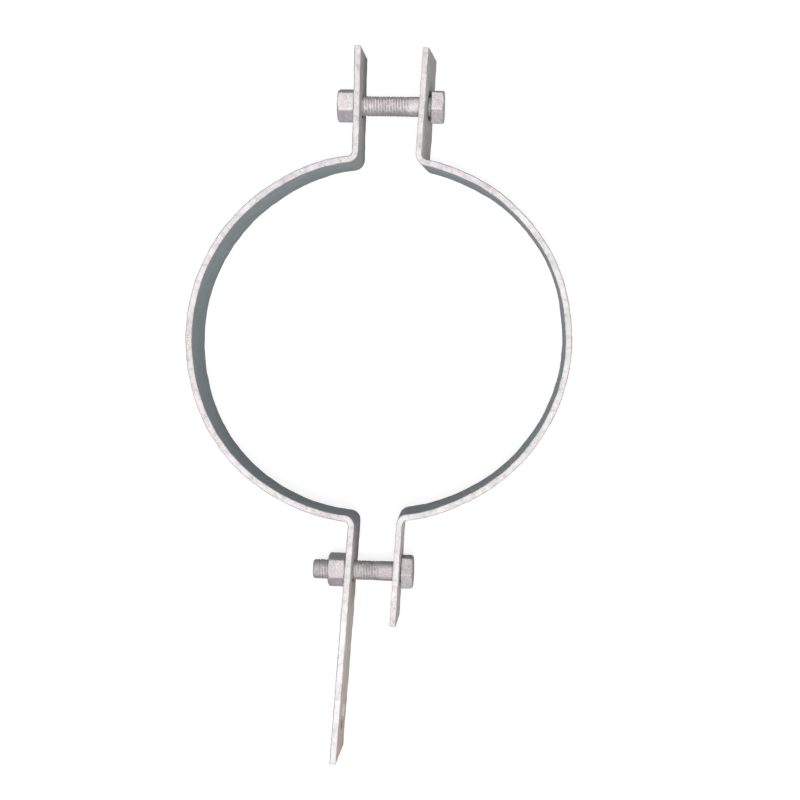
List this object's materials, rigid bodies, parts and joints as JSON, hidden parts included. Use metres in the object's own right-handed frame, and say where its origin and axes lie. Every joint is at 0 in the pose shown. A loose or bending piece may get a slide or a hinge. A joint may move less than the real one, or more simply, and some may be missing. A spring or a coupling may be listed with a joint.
{
  "type": "hoop clamp",
  "caption": "Galvanised hoop clamp for a round post: half hoops of flat bar drawn together by hex bolts through bent ears, with a long drilled tail for a fitting.",
  "frame": {"origin": "centre of the left half's arc, at the middle of the bar's width, where the post's axis runs", "axes": "+Z along the post, +Y away from the tail, +X from the left half to the right half; the clamp lies flat on the edges of its bars at Z = -20 mm"},
  "size_m": [0.241, 0.4462, 0.04],
  "materials": {
    "galvanised_strap": "hot-dip galvanised, matt and slightly mottled",
    "galvanised_fastener": "hot-dip galvanised, matt and slightly grainy"
  },
  "bodies": {
    "left_half": {"left_half_band": "galvanised_strap"},
    "right_half": {"right_half_band": "galvanised_strap", "top_bolt": "galvanised_fastener", "bottom_bolt": "galvanised_fastener"},
    "top_nut": {"top_nut": "galvanised_fastener"},
    "bottom_nut": {"bottom_nut": "galvanised_fastener"}
  },
  "joints": [
    {"name": "clamp_closing", "type": "slide", "parent": "left_half", "child": "right_half", "axis": [-1, 0, 0], "range_m": [0, 0.014]},
    {"name": "top_nut_turn", "type": "hinge", "parent": "left_half", "child": "top_nut", "pos_m": [-0.0112, 0.1474, 0], "axis": [1, 0, 0], "range_deg": [0, 2880]},
    {"name": "bottom_nut_turn", "type": "hinge", "parent": "left_half", "child": "bottom_nut", "pos_m": [-0.01044, -0.146, 0], "axis": [1, 0, 0], "range_deg": [0, 2880]}
  ],
  "couplings": [
    {"joint": "top_nut_turn", "follows": "clamp_closing", "rad_per_m": 3590.4},
    {"joint": "bottom_nut_turn", "follows": "clamp_closing", "rad_per_m": 3590.4}
  ]
}
